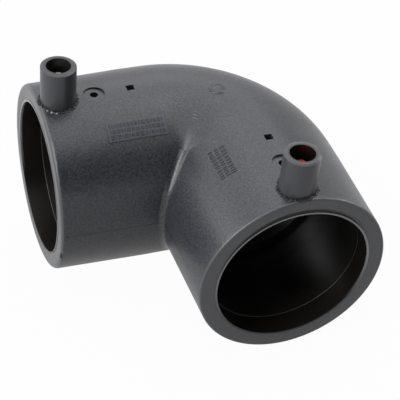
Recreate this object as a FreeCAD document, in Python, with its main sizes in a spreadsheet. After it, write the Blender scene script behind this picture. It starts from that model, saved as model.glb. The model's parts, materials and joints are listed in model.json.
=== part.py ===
import FreeCAD, Part
import math
import os
import Sketcher

# Electrofusion elbow, 90 degrees, for polyethylene pipe of 63 mm outside diameter.
# Frame: origin at the centre of the mouth of socket A. Socket A runs along +X into the
# bend, socket B leaves the bend along -Y, and the terminals point up along +Z.
# All lengths are in millimetres and all angles in degrees.

doc = FreeCAD.newDocument("electrofusion_elbow")
sizes = doc.addObject("Spreadsheet::Sheet", "sizes")

# Turns of wire in each socket, a whole number so that both ends of a winding are on top.
WINDING_TURNS = 5

DRIVING_SIZES = {
    # Sockets and bend.
    "centre_to_face": 83.0,
    "bend_radius": 32.4,
    "mouth_outer_radius": 39.4,
    "bend_outer_radius": 40.2,
    "rim_round": 2.0,
    "throat_round": 3.0,
    "bore_radius": 31.88,
    "entry_step": 0.2,
    "entry_land": 0.3,
    "socket_depth": 48.0,
    "waterway_radius": 28.3,
    "dish_radius": 34.8,
    "dish_depth": 0.7,
    "lip_width": 0.8,
    # Heating wire, one length that winds through both sockets.
    "wire_side": 0.6,
    "wire_pitch": 4.8,
    "lead_sink": 0.05,
    "riser_length": 2.6,
    "riser_inset": 0.15,
    # Terminals and their shrouds.
    "terminal_from_face": 8.5,
    "seat_sink": 1.37,
    "seat_clearance": 0.35,
    "shroud_height": 17.9,
    "shroud_radius": 7.3,
    "shroud_bore_radius": 5.05,
    "shroud_web": 1.2,
    "shroud_bevel": 0.9,
    "pin_radius": 2.35,
    "pin_shank_radius": 2.0,
    "pin_flange_radius": 3.4,
    "pin_flange_thickness": 1.0,
    "pin_tip_below_rim": 4.5,
    "pin_tip_bevel": 0.7,
    "shank_clearance": 0.05,
    "shank_skin": 1.15,
    "tip_cover_length": 2.4,
    "tip_cover_wall": 0.6,
    # Melt indicators beside the terminals.
    "indicator_from_face": 23.5,
    "indicator_dish_radius": 4.4,
    "indicator_dish_sink": 0.77,
    "indicator_hole_radius": 1.7,
    "indicator_skin": 1.95,
    "indicator_pin_length": 2.6,
    "indicator_clearance": 0.1,
    # Square holes left by the pins that hold the winding in the mould.
    "core_hole_from_face": 38.9,
    "core_hole_side": 3.3,
    "core_hole_depth": 3.5,
    # Raised panel on socket A, on the side that faces into the bend.
    "panel_from_face": 23.4,
    "panel_length": 25.0,
    "panel_width": 7.8,
    "panel_angle": 30.6,
    "panel_rise": 0.4,
    # Square gate pad on top of the bend, halfway round it.
    "gate_from_bend_axis": 32.6,
    "gate_side": 4.8,
    "gate_rise": 0.12,
    # Distance that a cutting outline runs past the surface that it cuts, and the
    # distance that an added form is sunk into the body that carries it. The skins above
    # are what is left between the floor of a hole and the winding.
    "run_out": 2.0,
    "root_depth": 1.0,
}

DERIVED_SIZES = {
    "leg_length": "centre_to_face - bend_radius",
    "bend_axis_reach": "sqrt(bend_outer_radius ^ 2 - bend_radius ^ 2)",
    "bend_far_side": "bend_radius + bend_outer_radius",
    "throat_start": "centre_to_face - bend_outer_radius - throat_round",
    "entry_radius": "bore_radius + entry_step",
    "entry_length": "wire_start - entry_land",
    "lip_radius": "entry_radius + lip_width",
    "riser_inner_offset": "pin_shank_radius - riser_inset - wire_side",
    "wire_start": "terminal_from_face + riser_inner_offset",
    "wire_half": "wire_side / 2",
    "wire_outer_radius": "bore_radius + wire_side",
    "wire_start_end": "wire_start + wire_side",
    "lead_floor": "bore_radius - lead_sink",
    "lead_top": "lead_floor + wire_side",
    "wire_last_turn": "wire_start + wire_pitch * %d" % WINDING_TURNS,
    "wire_end": "wire_last_turn + wire_side",
    "wire_near_bend": "bend_radius - wire_half",
    "wire_far_bend": "bend_radius + wire_half",
    "outer_slope": "(bend_outer_radius - mouth_outer_radius) / throat_start",
    "crown_top": "max(mouth_outer_radius; bend_outer_radius) + run_out",
    "crown_at_terminal": "mouth_outer_radius + outer_slope * terminal_from_face",
    "crown_at_indicator": "mouth_outer_radius + outer_slope * indicator_from_face",
    "seat_height": "crown_at_terminal - seat_sink",
    "shank_floor": "wire_outer_radius + shank_skin",
    "riser_top": "shank_floor + riser_length",
    "slot_run_out": "pin_shank_radius + run_out",
    "seat_radius": "shroud_radius + seat_clearance",
    "shank_hole_radius": "pin_shank_radius + shank_clearance",
    "rim_height": "seat_height + shroud_height",
    "web_top": "seat_height + shroud_web",
    "bevel_height": "rim_height - shroud_bevel / 2",
    "bevel_inner_radius": "shroud_radius - shroud_bevel",
    "flange_top": "web_top + pin_flange_thickness",
    "tip_height": "rim_height - pin_tip_below_rim",
    "tip_shoulder": "tip_height - pin_tip_bevel",
    "tip_flat_radius": "pin_radius - pin_tip_bevel",
    "spigot_radius": "pin_radius - tip_cover_wall",
    "spigot_foot": "tip_height - tip_cover_length",
    "spigot_top": "tip_height - tip_cover_wall - pin_tip_bevel / 2",
    "indicator_dish_floor": "crown_at_indicator - indicator_dish_sink",
    "indicator_hole_floor": "wire_outer_radius + indicator_skin",
    "indicator_pin_radius": "indicator_hole_radius - indicator_clearance",
    "indicator_pin_top": "indicator_hole_floor + indicator_pin_length",
    "core_hole_half": "core_hole_side / 2",
    "core_hole_near": "core_hole_from_face - core_hole_half",
    "core_hole_far": "core_hole_from_face + core_hole_half",
    "core_hole_floor": "bend_outer_radius - core_hole_depth",
    "panel_end": "panel_from_face + panel_length",
    "panel_near_radius": "mouth_outer_radius + outer_slope * panel_from_face + panel_rise",
    "panel_far_radius": "mouth_outer_radius + outer_slope * min(panel_end; throat_start)"
                        " + panel_rise",
    "panel_root_radius": "min(mouth_outer_radius; bend_outer_radius) - root_depth",
    "panel_span": "panel_width / bend_outer_radius * 180 / pi",
    "gate_top": "bend_outer_radius + gate_rise",
    "gate_half": "gate_side / 2",
    "gate_near_side": "gate_from_bend_axis - gate_half",
    "gate_far_side": "gate_from_bend_axis + gate_half",
}

for row, (name, value) in enumerate(DRIVING_SIZES.items(), start=1):
    sizes.set("A%d" % row, name)
    sizes.set("B%d" % row, str(value))
    sizes.setAlias("B%d" % row, name)
for row, (name, formula) in enumerate(DERIVED_SIZES.items(), start=1):
    sizes.set("C%d" % row, name)
    sizes.set("D%d" % row, "=" + formula)
    sizes.setAlias("D%d" % row, name)
doc.recompute()


def size(name):
    """Value of one named size of the sheet."""
    return float(getattr(sizes, name))


def place(name):
    """Signed value of a coordinate that is given as a size's name, or empty for zero."""
    if not name:
        return 0.0
    return -size(name[1:]) if name.startswith("-") else size(name)


def new_body(label):
    body = doc.addObject("PartDesign::Body", label)
    body.Label = label
    return body


def new_sketch(body, name, role, turn, offset):
    """Sketch on one of the body's origin planes, turned and then moved by named sizes."""
    sketch = body.newObject("Sketcher::SketchObject", name)
    plane = next(item for item in body.Origin.OriginFeatures if item.Role == role)
    sketch.AttachmentSupport = (plane, "")
    sketch.MapMode = "FlatFace"
    sketch.AttachmentOffset = FreeCAD.Placement(FreeCAD.Vector(), turn)
    for axis, shift in zip("xyz", offset):
        if shift:
            signed = "-sizes." + shift[1:] if shift.startswith("-") else "sizes." + shift
            sketch.setExpression("AttachmentOffset.Base." + axis, signed)
    return sketch


# Each socket has a frame of its own: along it from its mouth inwards, across it, and up.
# Socket B's frame starts at its own mouth and is a quarter turn round from socket A's.
SOCKETS = {"a": 0.0, "b": 90.0}
UP = FreeCAD.Vector(0, 0, 1)


def flat_sketch(body, name, end, height=""):
    """Horizontal sketch: x runs along the socket and y across it."""
    shift = ("centre_to_face", "-centre_to_face") if end == "b" else ("", "")
    turn = FreeCAD.Rotation(UP, SOCKETS[end])
    return new_sketch(body, name + "_" + end, "XY_Plane", turn, (*shift, height))


def upright_sketch(body, name, end):
    """Upright sketch through the socket's axis: x runs along the socket and y points up."""
    shift = ("centre_to_face", "", "centre_to_face") if end == "b" else ("", "", "")
    turn = FreeCAD.Rotation(FreeCAD.Vector(0, 1, 0), SOCKETS[end])
    return new_sketch(body, name + "_" + end, "XZ_Plane", turn, shift)


def bend_sketch(body, name):
    """Upright sketch where socket A meets the bend. Its y axis is the axis of the bend."""
    return new_sketch(body, name, "YZ_Plane", FreeCAD.Rotation(), ("-bend_radius", "", "leg_length"))


def tie(sketch, kind, curve, point, name):
    """Ties one coordinate of a sketch point to a size, or to the axis where it is zero."""
    if not name:
        axis = -2 if kind == "DistanceX" else -1
        sketch.addConstraint(Sketcher.Constraint("PointOnObject", curve, point, axis))
        return
    plain = name.lstrip("-")
    ends = (curve, point, -1, 1) if name.startswith("-") else (-1, 1, curve, point)
    number = sketch.addConstraint(Sketcher.Constraint(kind, *ends, size(plain)))
    sketch.setExpression("Constraints[%d]" % number, "sizes." + plain)


def tie_radius(sketch, curve, name):
    number = sketch.addConstraint(Sketcher.Constraint("Radius", curve, size(name)))
    sketch.setExpression("Constraints[%d]" % number, "sizes." + name)


def draw_outline(sketch, corners):
    """Closed outline of straight lines whose corners are named sizes."""
    points = [FreeCAD.Vector(place(x), place(y), 0) for x, y in corners]
    count = len(points)
    for index in range(count):
        following = points[(index + 1) % count]
        sketch.addGeometry(Part.LineSegment(points[index], following), False)
    for index in range(count):
        sketch.addConstraint(Sketcher.Constraint("Coincident", index, 2, (index + 1) % count, 1))
    for index, (x, y) in enumerate(corners):
        tie(sketch, "DistanceX", index, 1, x)
        tie(sketch, "DistanceY", index, 1, y)


def draw_circle(sketch, x, y, radius):
    centre = FreeCAD.Vector(place(x), place(y), 0)
    curve = sketch.addGeometry(Part.Circle(centre, UP, size(radius)), False)
    tie(sketch, "DistanceX", curve, 3, x)
    tie(sketch, "DistanceY", curve, 3, y)
    tie_radius(sketch, curve, radius)


def add_feature(body, kind, name, sketch, **settings):
    """Feature made from a sketch. A setting that starts with = is bound to the sheet."""
    feature = body.newObject(kind, name)
    feature.Profile = sketch
    for key, value in settings.items():
        if isinstance(value, str) and value.startswith("="):
            feature.setExpression(key, value[1:])
        else:
            setattr(feature, key, value)
    doc.recompute()
    return feature


def revolve(body, name, sketch, axis="V_Axis", angle=360.0, **settings):
    return add_feature(body, "PartDesign::Revolution", name, sketch,
                       ReferenceAxis=(sketch, [axis]), Angle=angle, **settings)


def turn_out(body, name, sketch, axis="H_Axis", angle=360.0, **settings):
    return add_feature(body, "PartDesign::Groove", name, sketch,
                       ReferenceAxis=(sketch, [axis]), Angle=angle, **settings)


def pad(body, name, sketch, length, **settings):
    return add_feature(body, "PartDesign::Pad", name, sketch, Length=length, **settings)


def pocket(body, name, sketch, length, **settings):
    return add_feature(body, "PartDesign::Pocket", name, sketch, Length=length, **settings)


# Elbow moulding: the two sockets.
elbow = new_body("elbow_body")

for end in SOCKETS:
    outside = flat_sketch(elbow, "socket_outside", end)
    draw_outline(outside, [
        ("", ""),
        ("", "mouth_outer_radius"),
        ("throat_start", "bend_outer_radius"),
        ("leg_length", "bend_outer_radius"),
        ("leg_length", ""),
    ])
    revolve(elbow, "socket_shell_" + end, outside, axis="H_Axis")

# The bend is a round section swept through a quarter turn. Its section is wider than the
# bend is tight, so the section stops at the axis of the bend and the sockets close the throat.
bend_section = bend_sketch(elbow, "bend_section")
SECTION_POINTS = [
    ("", "-bend_axis_reach"),
    ("bend_radius", "-bend_outer_radius"),
    ("bend_far_side", ""),
    ("bend_radius", "bend_outer_radius"),
    ("", "bend_axis_reach"),
]
section_points = [FreeCAD.Vector(place(x), place(y), 0) for x, y in SECTION_POINTS]
section_centre = FreeCAD.Vector(size("bend_radius"), 0, 0)
for near, far in zip(section_points, section_points[1:]):
    outwards = (near + far) / 2 - section_centre
    middle = section_centre + outwards.normalize() * size("bend_outer_radius")
    arc = bend_section.addGeometry(Part.Arc(near, middle, far), False)
    tie(bend_section, "DistanceX", arc, 3, "bend_radius")
    tie(bend_section, "DistanceY", arc, 3, "")
    if arc > 0:
        bend_section.addConstraint(Sketcher.Constraint("Coincident", arc - 1, 2, arc, 1))
tie_radius(bend_section, 0, "bend_outer_radius")
tie(bend_section, "DistanceX", 0, 1, "")
tie(bend_section, "DistanceX", 0, 2, "bend_radius")
tie(bend_section, "DistanceY", 1, 2, "")
tie(bend_section, "DistanceX", 2, 2, "bend_radius")
tie(bend_section, "DistanceX", 3, 2, "")
closing = bend_section.addGeometry(Part.LineSegment(section_points[-1], section_points[0]), False)
bend_section.addConstraint(Sketcher.Constraint("Coincident", 3, 2, closing, 1))
bend_section.addConstraint(Sketcher.Constraint("Coincident", closing, 2, 0, 1))
revolve(elbow, "bend_shell", bend_section, angle=90.0, Reversed=True)

# Rounded outer rims of the two mouths. Lengths that differ by less than this are the same.
SAME_PLACE = 0.03
MOUTH_CENTRES = {
    "a": FreeCAD.Vector(0, 0, 0),
    "b": FreeCAD.Vector(size("centre_to_face"), -size("centre_to_face"), 0),
}


def is_mouth_rim(edge):
    """True for the outer circle of a mouth."""
    if edge.Length < SAME_PLACE or not isinstance(edge.Curve, Part.Circle):
        return False
    if abs(edge.Curve.Radius - size("mouth_outer_radius")) > SAME_PLACE:
        return False
    return any((edge.Curve.Center - centre).Length < SAME_PLACE
               for centre in MOUTH_CENTRES.values())


rims = ["Edge%d" % number for number, edge in enumerate(elbow.Shape.Edges, start=1)
        if is_mouth_rim(edge)]
unrounded = elbow.Tip
rounding = elbow.newObject("PartDesign::Fillet", "rim_rounds")
rounding.Base = (unrounded, rims)
rounding.setExpression("Radius", "sizes.rim_round")
doc.recompute()

# Bores, turned from each mouth: dished face, lip, the slightly wider entry, the bore, the
# recess that holds the winding, the bore again up to the pipe stop, and the waterway.
for end in SOCKETS:
    inside = flat_sketch(elbow, "socket_inside", end)
    draw_outline(inside, [
        ("-run_out", ""),
        ("-run_out", "dish_radius"),
        ("", "dish_radius"),
        ("dish_depth", "lip_radius"),
        ("", "lip_radius"),
        ("", "entry_radius"),
        ("entry_length", "entry_radius"),
        ("entry_length", "bore_radius"),
        ("wire_start", "bore_radius"),
        ("wire_start", "wire_outer_radius"),
        ("wire_end", "wire_outer_radius"),
        ("wire_end", "bore_radius"),
        ("socket_depth", "bore_radius"),
        ("socket_depth", "waterway_radius"),
        ("leg_length", "waterway_radius"),
        ("leg_length", ""),
    ])
    turn_out(elbow, "socket_bore_" + end, inside)

bend_inside = bend_sketch(elbow, "bend_inside")
draw_circle(bend_inside, "bend_radius", "", "waterway_radius")
turn_out(elbow, "bend_waterway", bend_inside, axis="V_Axis", angle=90.0, Reversed=True)

# Everything that is cut or added on the crown of each socket.
for end in SOCKETS:
    seat = flat_sketch(elbow, "terminal_seat", end, "crown_top")
    draw_circle(seat, "terminal_from_face", "", "seat_radius")
    pocket(elbow, "terminal_seat_cut_" + end, seat, "=sizes.crown_top - sizes.seat_height")

    shank_hole = flat_sketch(elbow, "shank_hole", end, "seat_height")
    draw_circle(shank_hole, "terminal_from_face", "", "shank_hole_radius")
    pocket(elbow, "shank_hole_cut_" + end, shank_hole, "=sizes.seat_height - sizes.shank_floor")

    riser_hole = flat_sketch(elbow, "riser_hole", end, "shank_floor")
    draw_outline(riser_hole, [
        ("wire_start", "-wire_half"),
        ("wire_start_end", "-wire_half"),
        ("wire_start_end", "wire_half"),
        ("wire_start", "wire_half"),
    ])
    pocket(elbow, "riser_hole_cut_" + end, riser_hole, "=sizes.shank_floor - sizes.bore_radius")

    wire_way = flat_sketch(elbow, "wire_way", end, "lead_top")
    draw_outline(wire_way, [
        ("wire_last_turn", "-wire_half"),
        ("leg_length", "-wire_half"),
        ("leg_length", "wire_half"),
        ("wire_last_turn", "wire_half"),
    ])
    pocket(elbow, "wire_way_cut_" + end, wire_way, "=sizes.wire_side")

    dish = flat_sketch(elbow, "indicator_dish", end, "crown_top")
    draw_circle(dish, "indicator_from_face", "", "indicator_dish_radius")
    pocket(elbow, "indicator_dish_cut_" + end, dish,
           "=sizes.crown_top - sizes.indicator_dish_floor")

    indicator_hole = flat_sketch(elbow, "indicator_hole", end, "crown_top")
    draw_circle(indicator_hole, "indicator_from_face", "", "indicator_hole_radius")
    pocket(elbow, "indicator_hole_cut_" + end, indicator_hole,
           "=sizes.crown_top - sizes.indicator_hole_floor")

    core_hole = flat_sketch(elbow, "core_hole", end, "crown_top")
    draw_outline(core_hole, [
        ("core_hole_near", "-core_hole_half"),
        ("core_hole_far", "-core_hole_half"),
        ("core_hole_far", "core_hole_half"),
        ("core_hole_near", "core_hole_half"),
    ])
    pocket(elbow, "core_hole_cut_" + end, core_hole,
           "=sizes.crown_top - sizes.core_hole_floor")

WIRE_SECTION = [
    ("wire_near_bend", "lead_floor"),
    ("wire_far_bend", "lead_floor"),
    ("wire_far_bend", "lead_top"),
    ("wire_near_bend", "lead_top"),
]
wire_bend_way = bend_sketch(elbow, "wire_bend_way")
draw_outline(wire_bend_way, WIRE_SECTION)
turn_out(elbow, "wire_bend_way_cut", wire_bend_way, axis="V_Axis", angle=90.0, Reversed=True)

# Raised panel on socket A. Its top follows the slight taper of the socket.
panel = new_sketch(elbow, "panel_section", "XZ_Plane",
                   FreeCAD.Rotation(FreeCAD.Vector(1, 0, 0), size("panel_angle")), ("", "", ""))
panel.setExpression("AttachmentOffset.Rotation.Angle", "sizes.panel_angle")
draw_outline(panel, [
    ("panel_from_face", "panel_root_radius"),
    ("panel_end", "panel_root_radius"),
    ("panel_end", "panel_far_radius"),
    ("panel_from_face", "panel_near_radius"),
])
revolve(elbow, "raised_panel", panel, axis="H_Axis", angle="=sizes.panel_span", Midplane=True)

# Gate pad on top of the bend. Its sketch has its origin on the axis of the bend.
gate = new_sketch(elbow, "gate_outline", "XY_Plane", FreeCAD.Rotation(UP, 45.0),
                  ("leg_length", "-bend_radius", "gate_top"))
draw_outline(gate, [
    ("gate_near_side", "-gate_half"),
    ("gate_far_side", "-gate_half"),
    ("gate_far_side", "gate_half"),
    ("gate_near_side", "gate_half"),
])
pad(elbow, "gate_pad", gate, "=sizes.root_depth", Reversed=True)

# Heating wire, one length: riser, winding and lead of each socket, joined by a run that
# follows the bend inside the wall.
wire = new_body("heating_wire")
for end in SOCKETS:
    lead = flat_sketch(wire, "lead", end, "lead_floor")
    draw_outline(lead, [
        ("wire_last_turn", "-wire_half"),
        ("leg_length", "-wire_half"),
        ("leg_length", "wire_half"),
        ("wire_last_turn", "wire_half"),
    ])
    pad(wire, "wire_lead_" + end, lead, "=sizes.wire_side")
    if end == "a":
        wire_bend = bend_sketch(wire, "wire_bend")
        draw_outline(wire_bend, WIRE_SECTION)
        revolve(wire, "wire_bend_run", wire_bend, angle=90.0, Reversed=True)
    winding = upright_sketch(wire, "winding", end)
    draw_outline(winding, [
        ("wire_start", "bore_radius"),
        ("wire_start_end", "bore_radius"),
        ("wire_start_end", "wire_outer_radius"),
        ("wire_start", "wire_outer_radius"),
    ])
    coil = wire.newObject("PartDesign::AdditiveHelix", "winding_coil_" + end)
    coil.Profile = winding
    coil.ReferenceAxis = (winding, ["H_Axis"])
    coil.Mode = "pitch-turns-angle"
    coil.setExpression("Pitch", "sizes.wire_pitch")
    coil.Turns = WINDING_TURNS
    doc.recompute()
    riser = flat_sketch(wire, "riser", end, "bore_radius")
    draw_outline(riser, [
        ("wire_start", "-wire_half"),
        ("wire_start_end", "-wire_half"),
        ("wire_start_end", "wire_half"),
        ("wire_start", "wire_half"),
    ])
    pad(wire, "wire_riser_" + end, riser, "=sizes.riser_top - sizes.bore_radius")


def fitted_body(label, end, from_face):
    """Body of a fitted part whose own z axis stands on the crown of one socket."""
    body = new_body(label)
    body.Placement = FreeCAD.Placement(FreeCAD.Vector(), FreeCAD.Rotation(UP, SOCKETS[end]))
    if end == "a":
        body.setExpression("Placement.Base.x", "sizes." + from_face)
    else:
        body.setExpression("Placement.Base.x", "sizes.centre_to_face")
        body.setExpression("Placement.Base.y", "sizes.%s - sizes.centre_to_face" % from_face)
    return body


def turned(label, end, from_face, corners):
    """Part turned about its own z axis from an outline of radii and heights."""
    body = fitted_body(label, end, from_face)
    outline = new_sketch(body, label + "_outline", "XZ_Plane", FreeCAD.Rotation(), ("", "", ""))
    draw_outline(outline, corners)
    revolve(body, label + "_turned", outline)
    return body


PIN_STEM = [
    ("", "shank_floor"),
    ("pin_shank_radius", "shank_floor"),
    ("pin_shank_radius", "web_top"),
    ("pin_flange_radius", "web_top"),
    ("pin_flange_radius", "flange_top"),
    ("pin_radius", "flange_top"),
]
PLAIN_TIP = [
    ("pin_radius", "tip_shoulder"),
    ("tip_flat_radius", "tip_height"),
    ("", "tip_height"),
]
SPIGOT_TIP = [
    ("pin_radius", "spigot_foot"),
    ("spigot_radius", "spigot_foot"),
    ("spigot_radius", "spigot_top"),
    ("", "spigot_top"),
]
parts = [elbow, wire]
for end, tip in zip(SOCKETS, (PLAIN_TIP, SPIGOT_TIP)):
    # Shroud: an open cup that stands in the seat, with a hole in its web for the pin.
    parts.append(turned("terminal_shroud_" + end, end, "terminal_from_face", [
        ("shank_hole_radius", "seat_height"),
        ("shroud_radius", "seat_height"),
        ("shroud_radius", "bevel_height"),
        ("bevel_inner_radius", "rim_height"),
        ("shroud_bore_radius", "rim_height"),
        ("shroud_bore_radius", "web_top"),
        ("shank_hole_radius", "web_top"),
    ]))

    # Pin: its flange holds the shroud down, and a slot in its shank takes the wire's end.
    pin = turned("terminal_pin_" + end, end, "terminal_from_face", PIN_STEM + tip)
    slot = new_sketch(pin, "wire_slot_" + end, "XY_Plane", FreeCAD.Rotation(), ("", "", "riser_top"))
    draw_outline(slot, [
        ("riser_inner_offset", "-wire_half"),
        ("slot_run_out", "-wire_half"),
        ("slot_run_out", "wire_half"),
        ("riser_inner_offset", "wire_half"),
    ])
    pocket(pin, "wire_slot_cut_" + end, slot, "=sizes.riser_length")
    parts.append(pin)

    # Melt indicator: a plain pin down in its hole, that rises when the joint is made.
    parts.append(turned("fusion_indicator_" + end, end, "indicator_from_face", [
        ("", "indicator_hole_floor"),
        ("indicator_pin_radius", "indicator_hole_floor"),
        ("indicator_pin_radius", "indicator_pin_top"),
        ("", "indicator_pin_top"),
    ]))

# Red cap pressed on the pin of socket B.
parts.append(turned("terminal_tip_cover", "b", "terminal_from_face", [
    ("spigot_radius", "spigot_foot"),
    ("pin_radius", "spigot_foot"),
    ("pin_radius", "tip_shoulder"),
    ("tip_flat_radius", "tip_height"),
    ("", "tip_height"),
    ("", "spigot_top"),
    ("spigot_radius", "spigot_top"),
]))

# Every object must have been worked out, and every part must be one sound solid.
doc.recompute()
faults = [item.Name for item in doc.Objects if "Invalid" in item.State or "Error" in item.State]
for part in parts:
    if part.Shape.isNull() or not part.Shape.isValid() or len(part.Shape.Solids) != 1:
        faults.append(part.Label)
if faults:
    raise RuntimeError("not sound: " + ", ".join(faults))

os.makedirs("parts", exist_ok=True)
for part in parts:
    part.Shape.exportStep("parts/" + part.Label + ".step")
    print(part.Label, round(part.Shape.Volume, 1), part.Shape.BoundBox)
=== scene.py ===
# %% [markdown]
# # An electrofusion elbow, dressed in Blender
# The solids of this pipe fitting come from CAD and stay where they are. Blender adds what CAD left
# out: the skin of moulded black polyethylene, the lines that a lathe leaves on the faces, the coated
# heating wire, the small marks of moulding, the light and the camera.

import json
import math
import random

import bmesh
import bpy
from mathutils import Matrix, Vector, noise


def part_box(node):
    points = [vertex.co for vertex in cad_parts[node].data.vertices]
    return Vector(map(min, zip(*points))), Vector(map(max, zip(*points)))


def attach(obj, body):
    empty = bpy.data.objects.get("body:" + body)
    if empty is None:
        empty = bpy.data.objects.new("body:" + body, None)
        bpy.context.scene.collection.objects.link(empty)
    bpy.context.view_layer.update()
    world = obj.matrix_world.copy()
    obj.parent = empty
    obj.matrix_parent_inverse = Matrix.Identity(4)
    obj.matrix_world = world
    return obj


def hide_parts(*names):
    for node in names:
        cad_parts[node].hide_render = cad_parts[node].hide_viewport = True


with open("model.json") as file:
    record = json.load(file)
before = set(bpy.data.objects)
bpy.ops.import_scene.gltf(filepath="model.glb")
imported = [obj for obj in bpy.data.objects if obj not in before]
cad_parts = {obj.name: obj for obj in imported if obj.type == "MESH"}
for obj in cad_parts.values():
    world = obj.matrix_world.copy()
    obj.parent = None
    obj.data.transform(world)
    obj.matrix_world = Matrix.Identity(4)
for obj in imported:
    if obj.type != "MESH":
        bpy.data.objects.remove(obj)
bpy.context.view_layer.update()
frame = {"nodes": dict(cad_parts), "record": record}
print("CAD nodes:", sorted(frame["nodes"]))

# %% [markdown]
# The CAD record states where things plug into the fitting. Its four mounts, the two sockets and
# the two terminals, give most of the sizes that the extra pieces need. The radius of the bend and
# the outer radius of the mouths aren't in the record, so they are given here.
# A frame of its own for each socket makes the rest simple: the distance from its mouth, and an angle
# round it from the crown towards the inside of the bend.

# %% Read the main sizes from the frame
MM = 0.001
mounts = {mount["name"]: mount for mount in frame["record"]["mounts"]}
BORE_RADIUS = mounts["socket_a"]["dims"]["r_mm"] * MM
CENTRE_TO_FACE = mounts["socket_b"]["pos_m"][0]
TERMINAL_FROM_FACE = mounts["terminal_a"]["pos_m"][0]
body_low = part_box("elbow_body")[0]
OUTER_RADIUS = -body_low.z
BEND_RADIUS = 32.4 * MM
LEG_LENGTH = CENTRE_TO_FACE - BEND_RADIUS
MOUTH_RADIUS = 39.4 * MM
print("bore radius %.4f, outer radius %.4f, centre to face %.4f"
      % (BORE_RADIUS, OUTER_RADIUS, CENTRE_TO_FACE))


def on_socket(end, along, angle, radius):
    """Point near a socket: distance from its mouth, degrees from the crown, distance from its axis."""
    turn = math.radians(angle)
    across, up = radius * math.sin(turn), radius * math.cos(turn)
    if end == "a":
        return Vector((along, -across, up))
    return Vector((CENTRE_TO_FACE - across, along - CENTRE_TO_FACE, up))


def outside_radius(along):
    """Outer radius of a socket, which widens a little from its mouth to the bend."""
    share = min(along / (CENTRE_TO_FACE - OUTER_RADIUS), 1.0)
    return MOUTH_RADIUS + (OUTER_RADIUS - MOUTH_RADIUS) * share


# %% [markdown]
# Every finish is built from shader nodes. Two small helpers keep that readable: one turns an sRGB
# hex colour into the linear numbers that Blender works in, the other adds a node with its settings
# and links and hands back one of its outputs.

# %% Helpers for materials
def linear(hex_colour):
    """Linear RGBA of an sRGB colour such as 7f7f7f, by the curve of the sRGB standard."""
    channels = [int(hex_colour[i:i + 2], 16) / 255 for i in (0, 2, 4)]
    return [c / 12.92 if c <= 0.04045 else ((c + 0.055) / 1.055) ** 2.4 for c in channels] + [1.0]


def add_node(tree, kind, inputs=None, output=0, **settings):
    """Adds one shader node. An input is a value, or an output socket that is linked to it."""
    node = tree.nodes.new("ShaderNode" + kind)
    for key, value in settings.items():
        setattr(node, key, value)
    for key, value in (inputs or {}).items():
        if isinstance(value, bpy.types.NodeSocket):
            tree.links.new(value, node.inputs[key])
        else:
            node.inputs[key].default_value = value
    return node.outputs[output]


def new_material(name):
    """Empty material with its tree, its surface shader and the object's coordinates in metres."""
    material = bpy.data.materials.new(name)
    material.use_nodes = True
    tree = material.node_tree
    shader = tree.nodes["Principled BSDF"]
    place = add_node(tree, "TexCoord", output="Object")
    return material, tree, shader, place


# A Mix node keeps sockets for every kind of data: its colours go in at 6 and 7 and come out at 2.
COLOUR_A, COLOUR_B, COLOUR_OUT = 6, 7, 2
# Noise seldom goes outside this range. Its two ends give a finish its two roughnesses.
NOISE_LOW, NOISE_HIGH = 0.3, 0.7

# %% [markdown]
# ## Moulded black polyethylene
# The body is injection-moulded polyethylene, black because of the carbon in it. Polyethylene is
# waxy: its index is about 1.5, its gloss is soft, and the steel mould leaves a fine grain. Flow
# marks shift its black a little towards blue or brown, and the two halves of the mould leave a thin
# line at half height. The two faces were then turned on a lathe, which leaves fine rings and a paler
# surface, while the bores come off a smooth core without grain. The bores and the waterway are
# painted near black, as painted shade inside the fitting. The lips of the mouths are painted light
# at the top as a painted highlight and dark below as painted shade, and the dish of mouth B is
# painted dark towards the crown as painted shade. One material can hold all three: distances from
# the two socket axes tell where the lathe and the core were.
# Real turning rings are about 0.2 mm apart. They are drawn 0.9 mm apart so that they can be seen.

# %% Body material
MOULD_GRAIN = 0.8 * MM
FLOW_MARKS = 22 * MM
RING_PITCH = 0.9 * MM
FACE_DEPTH = 0.9 * MM
PARTING_HALF_WIDTH = 0.2 * MM
BODY_INDEX = 1.51
BORE_DULLER = 0.02
SKIN_BUMP, RING_BUMP = 0.6, 0.35
SPECKLE_LOW, SPECKLE_HIGH, SPECKLE_SHARE = 0.38, 0.62, 0.6
CORE_REACH = BORE_RADIUS + 1.6 * MM
LIP_REACH = BORE_RADIUS + 0.9 * MM
DISH_REACH = 34.7 * MM
# Heights between which painted shade darkens the dish of mouth B towards the crown, and between which
# the lips of both mouths go from painted shade below to a painted highlight above
DISH_SHADE_START, DISH_SHADE_FULL = 0.4 * BORE_RADIUS, 0.9 * BORE_RADIUS
LIP_SHADE_HEIGHT, LIP_HIGHLIGHT_HEIGHT = -0.6 * BORE_RADIUS, 0.1 * BORE_RADIUS


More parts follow.
